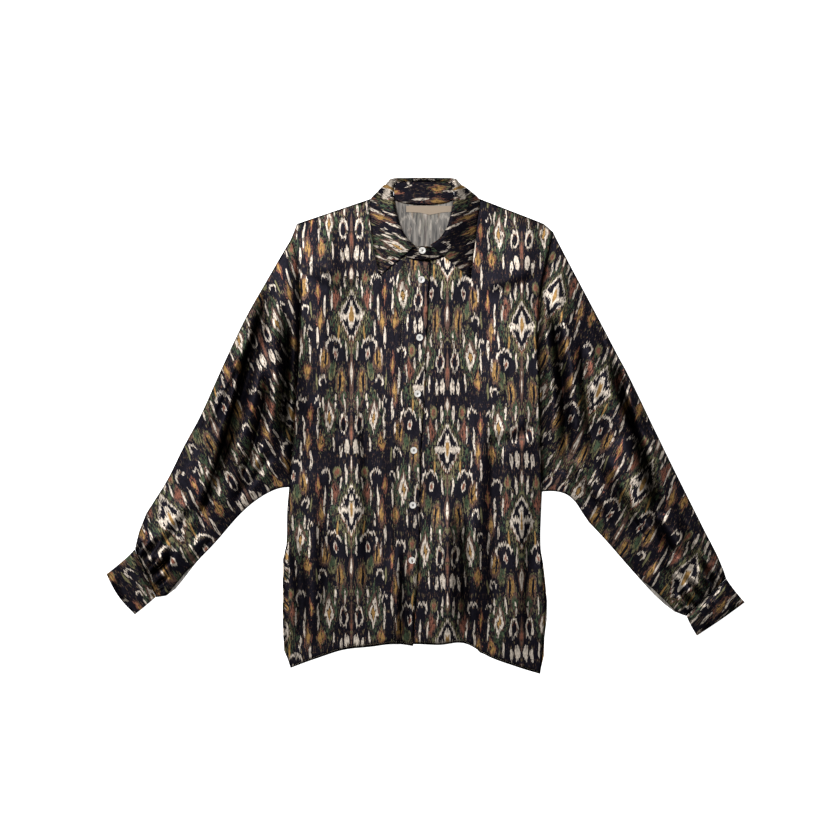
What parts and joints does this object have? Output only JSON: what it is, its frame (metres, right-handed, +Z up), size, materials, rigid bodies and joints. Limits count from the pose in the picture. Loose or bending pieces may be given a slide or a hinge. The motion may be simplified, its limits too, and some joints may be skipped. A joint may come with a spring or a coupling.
{
  "type": "kimono sleeve shirt laid flat",
  "caption": "Buttoned shirt with wide kimono sleeves, a pointed collar on a stand and sleeve cuffs, laid flat on its back with the sleeves pulled down.",
  "frame": {"origin": "middle of the laid-out outline, on the surface that the back rests on", "axes": "+X across the span from cuff to cuff, towards the wearer's left sleeve; +Y from hem to collar; +Z up, out of the front"},
  "size_m": [1.0846, 0.8432, 0.0121],
  "materials": {
    "printed_satin": "near-black satin with a mirrored ikat print in cream, ochre, olive and rust",
    "label_tape": "plain woven cream tape, blank",
    "button_pearl": "pearly white, polished"
  },
  "bodies": {
    "root": {"back": "printed_satin", "front_right": "printed_satin", "front_left": "printed_satin", "collar_stand_right": "printed_satin", "collar_stand_back": "printed_satin", "collar_stand_left": "printed_satin", "collar_fall": "printed_satin", "cuff_right": "printed_satin", "cuff_left": "printed_satin", "neck_label": "label_tape", "button_1": "button_pearl", "button_2": "button_pearl", "button_3": "button_pearl", "button_4": "button_pearl", "button_5": "button_pearl", "button_6": "button_pearl", "button_7": "button_pearl"}
  },
  "joints": []
}
